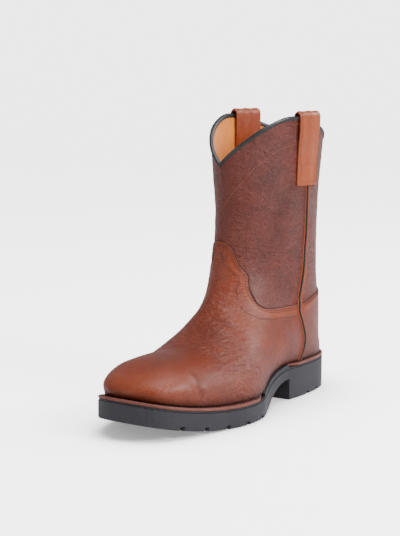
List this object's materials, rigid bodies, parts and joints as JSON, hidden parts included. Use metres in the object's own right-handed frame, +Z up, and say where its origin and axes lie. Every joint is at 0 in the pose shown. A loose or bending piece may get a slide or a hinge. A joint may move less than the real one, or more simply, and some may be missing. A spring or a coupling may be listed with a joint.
{
  "type": "western work boot",
  "caption": "Left western work boot: pull-on leather boot with a scalloped collar, pull straps, welted rubber sole and low heel.",
  "frame": {"origin": "middle of the bounding box at floor level, under the sole", "axes": "+Z up, toe towards -Y, outer side towards +X"},
  "size_m": [0.1092, 0.305, 0.2707],
  "materials": {
    "upper_leather": "oiled full-grain, satin, with a pull-up sheen",
    "strap_leather": "oiled full-grain, satin",
    "welt_leather": "waxed, matte",
    "insole_leather": "natural, matte",
    "black_leather": "satin",
    "black_rubber": "matte",
    "orange_rubber": "matte"
  },
  "bodies": {
    "root": {"outsole": "black_rubber", "arch_panel": "orange_rubber", "midsole": "black_rubber", "welt": "welt_leather", "heel_welt": "welt_leather", "insole": "insole_leather", "upper": "upper_leather", "collar_binding": "black_leather", "side_piping_lateral": "black_leather", "side_piping_medial": "black_leather", "pull_strap_lateral": "strap_leather", "pull_strap_medial": "strap_leather"}
  },
  "joints": []
}
